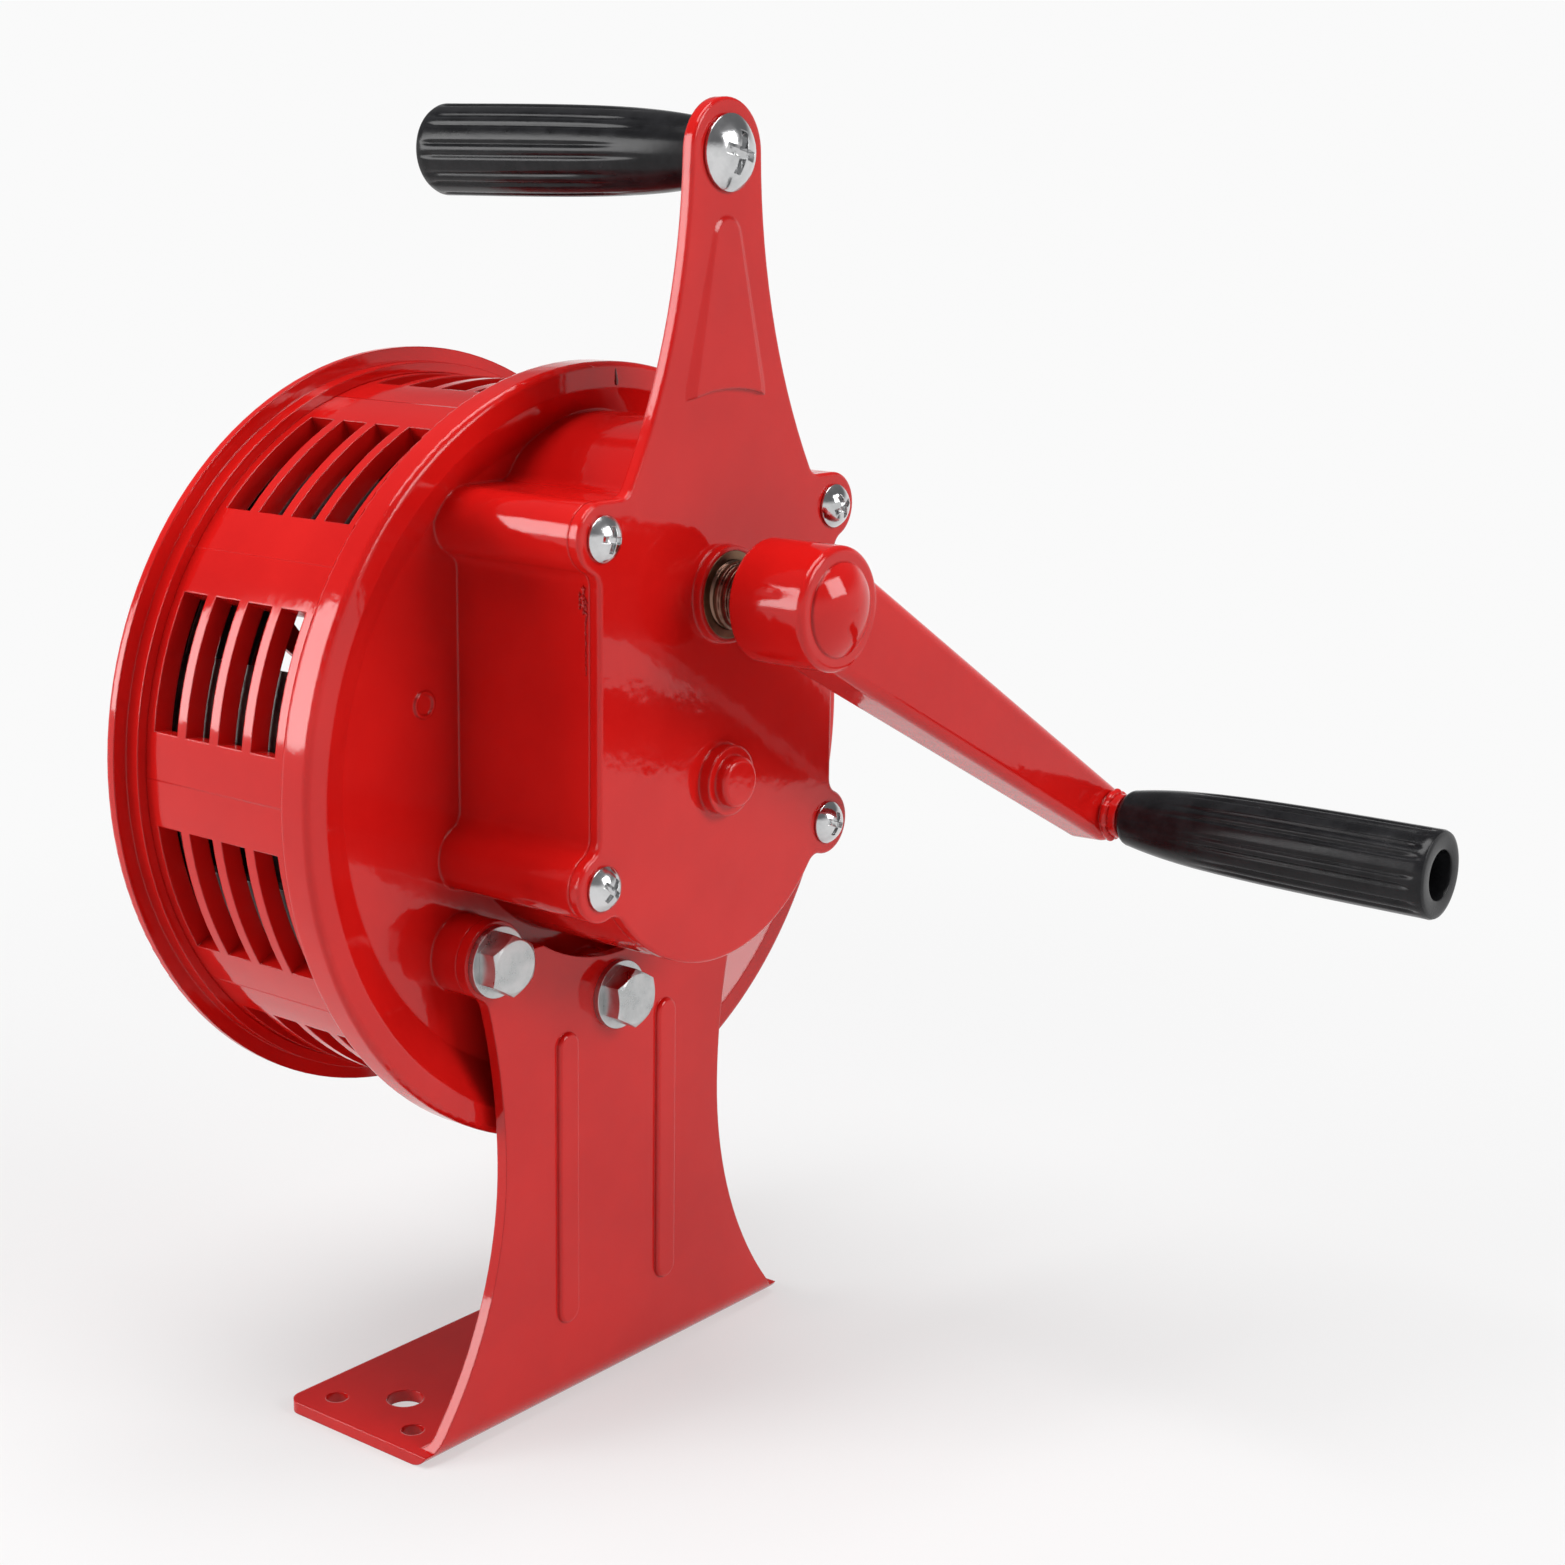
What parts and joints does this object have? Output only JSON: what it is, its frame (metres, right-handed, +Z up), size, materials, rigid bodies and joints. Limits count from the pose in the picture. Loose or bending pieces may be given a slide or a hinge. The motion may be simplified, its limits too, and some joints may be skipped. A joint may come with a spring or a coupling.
{
  "type": "hand crank siren",
  "caption": "Hand cranked siren: vented drum with a grilled horn mouth, geared crank behind, flared bracket foot, carrying arm with a black grip.",
  "frame": {"origin": "centre of the foot's two large bolt holes, on the foot's underside", "axes": "+Z up, -Y out of the horn mouth, +Y towards the crank, +X across the foot"},
  "size_m": [0.205, 0.2567, 0.314],
  "materials": {
    "red_enamel_sheet": "bright red gloss enamel on sheet and thin castings",
    "red_enamel_cast": "bright red gloss enamel on cast metal",
    "black_plastic": "glossy moulded black plastic",
    "bright_zinc": "bright zinc plate",
    "dark_bronze": "dark brown oxidised bronze, turned",
    "oiled_bronze": "oiled sintered bronze",
    "gear_steel": "machined steel, lightly greased",
    "cast_aluminium": "grey cast aluminium"
  },
  "bodies": {
    "housing": {"mounting_bracket": "red_enamel_sheet", "bracket_washers": "bright_zinc", "bracket_bolts": "bright_zinc", "rear_casing": "red_enamel_cast", "vented_drum": "red_enamel_sheet", "front_horn": "red_enamel_sheet", "horn_grille": "red_enamel_sheet", "gear_cover": "red_enamel_cast", "cover_screws": "bright_zinc", "carry_grip": "black_plastic", "carry_grip_screw": "bright_zinc", "crank_bush_outer": "oiled_bronze", "crank_bush_inner": "oiled_bronze", "rotor_bush_front": "oiled_bronze", "rotor_bush_rear": "oiled_bronze", "idler_pin": "gear_steel"},
    "crank": {"crank_shaft": "dark_bronze", "crank_gear": "gear_steel", "crank_arm": "red_enamel_cast", "crank_grip_pin": "gear_steel", "crank_grip_nut": "bright_zinc"},
    "loose_grip": {"crank_grip": "black_plastic"},
    "idler": {"idler_pinion": "gear_steel", "idler_gear": "gear_steel"},
    "rotor": {"rotor_disc": "cast_aluminium", "rotor_blades": "cast_aluminium", "rotor_front_ring": "cast_aluminium", "rotor_shaft": "gear_steel", "rotor_pinion": "gear_steel", "rotor_washer": "bright_zinc", "rotor_nut": "bright_zinc"}
  },
  "joints": [
    {"name": "crank_turn", "type": "hinge", "parent": "housing", "child": "crank", "pos_m": [0, 0.0595, 0.20401], "axis": [0, 1, 0], "continuous": true},
    {"name": "grip_spin", "type": "hinge", "parent": "crank", "child": "loose_grip", "pos_m": [-0.10038, 0.14, 0.14104], "axis": [0, 1, 0], "continuous": true},
    {"name": "idler_turn", "type": "hinge", "parent": "housing", "child": "idler", "pos_m": [0.0166, 0.04, 0.17783], "axis": [0, 1, 0], "continuous": true},
    {"name": "rotor_turn", "type": "hinge", "parent": "housing", "child": "rotor", "pos_m": [0, 0, 0.1605], "axis": [0, 1, 0], "continuous": true}
  ],
  "couplings": [
    {"joint": "idler_turn", "follows": "crank_turn", "ratio": -4.1667},
    {"joint": "rotor_turn", "follows": "crank_turn", "ratio": 12.5}
  ]
}
